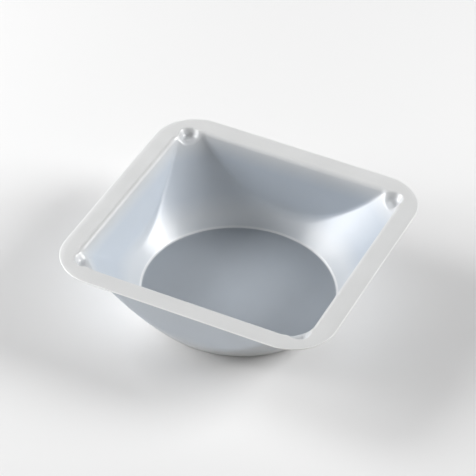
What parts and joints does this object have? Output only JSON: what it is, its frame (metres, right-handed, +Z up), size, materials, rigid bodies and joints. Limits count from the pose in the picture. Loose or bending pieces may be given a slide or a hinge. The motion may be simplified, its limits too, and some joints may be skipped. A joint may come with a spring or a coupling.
{
  "type": "weighing boat",
  "caption": "Square weighing boat: a thin flanged dish with steep flat walls, sloping rounded corners and a flat round floor, for weighing and pouring small amounts.",
  "frame": {"origin": "centre of the underside of the flat floor", "axes": "+Z up, out of the dish's mouth; X and Y along the sides of the square flange"},
  "size_m": [0.089, 0.089, 0.025],
  "materials": {
    "sheet": "milky white translucent polystyrene sheet with a smooth, softly glossy surface"
  },
  "bodies": {
    "root": {"dish": "sheet"}
  },
  "joints": []
}
